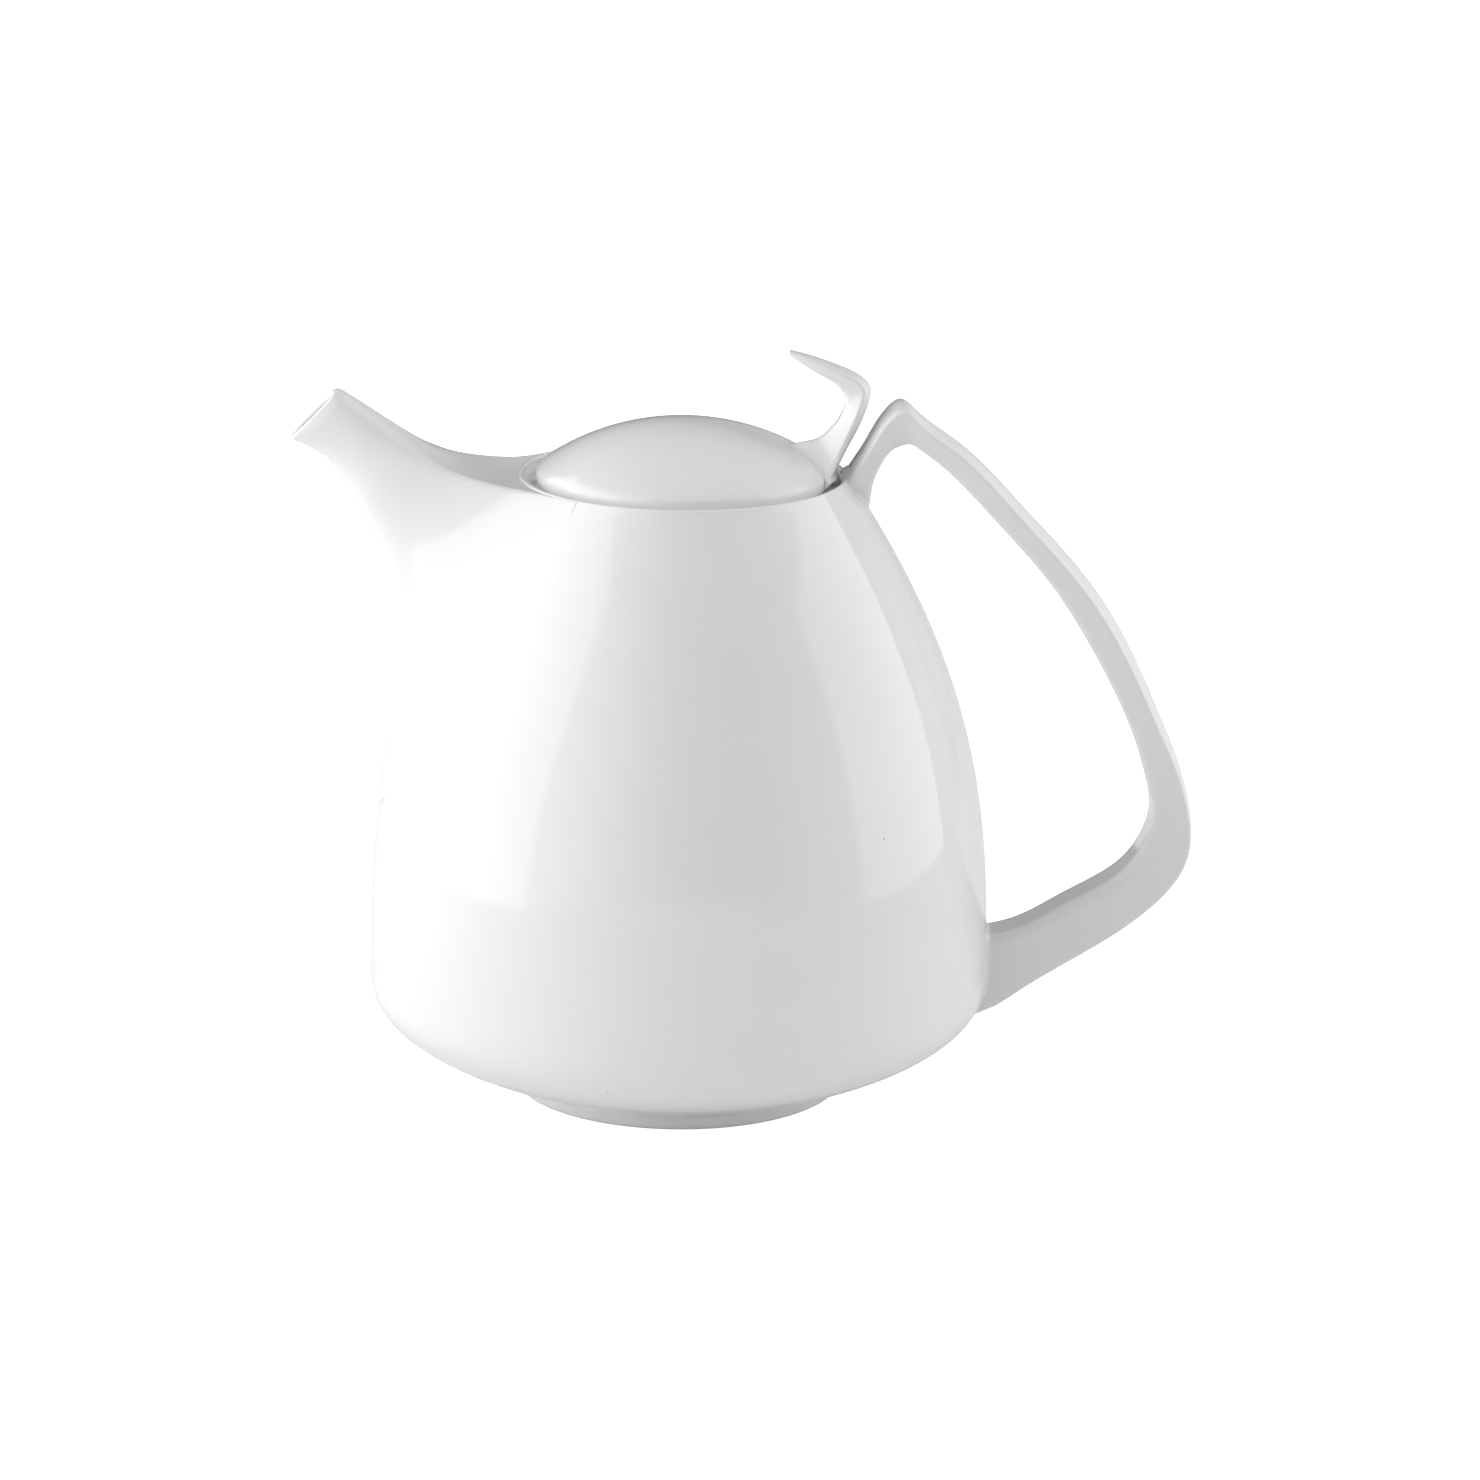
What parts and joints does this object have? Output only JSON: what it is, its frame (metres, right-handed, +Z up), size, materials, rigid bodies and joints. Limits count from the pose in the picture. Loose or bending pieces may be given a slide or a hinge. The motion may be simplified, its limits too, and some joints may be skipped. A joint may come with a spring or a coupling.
{
  "type": "teapot",
  "caption": "Bell-shaped white porcelain teapot with a broad beak spout, a folded strap handle and a lift-off domed lid with a bent grip.",
  "frame": {"origin": "centre of the whole pot's box, on the surface that it stands on", "axes": "+X towards the handle, -X towards the spout, +Z up; the plane y = 0 is the pot's plane of symmetry"},
  "size_m": [0.2209, 0.152, 0.1845],
  "materials": {
    "body_glaze": "glossy clear glaze over white porcelain",
    "foot_bisque": "ground, unglazed where it stands",
    "spout_glaze": "glossy clear glaze over white porcelain",
    "handle_glaze": "glossy clear glaze over white porcelain",
    "lid_glaze": "glossy clear glaze over white porcelain",
    "flange_glaze": "glossy clear glaze over white porcelain",
    "grip_glaze": "glossy clear glaze over white porcelain"
  },
  "bodies": {
    "pot": {"body_shell": "body_glaze", "foot_ring": "foot_bisque", "spout": "spout_glaze", "handle": "handle_glaze"},
    "lid": {"lid_dome": "lid_glaze", "lid_flange": "flange_glaze", "lid_grip": "grip_glaze"}
  },
  "joints": [
    {"name": "lid_lift", "type": "slide", "parent": "pot", "child": "lid", "axis": [0, 0, 1], "range_m": [0, 0.08]}
  ]
}
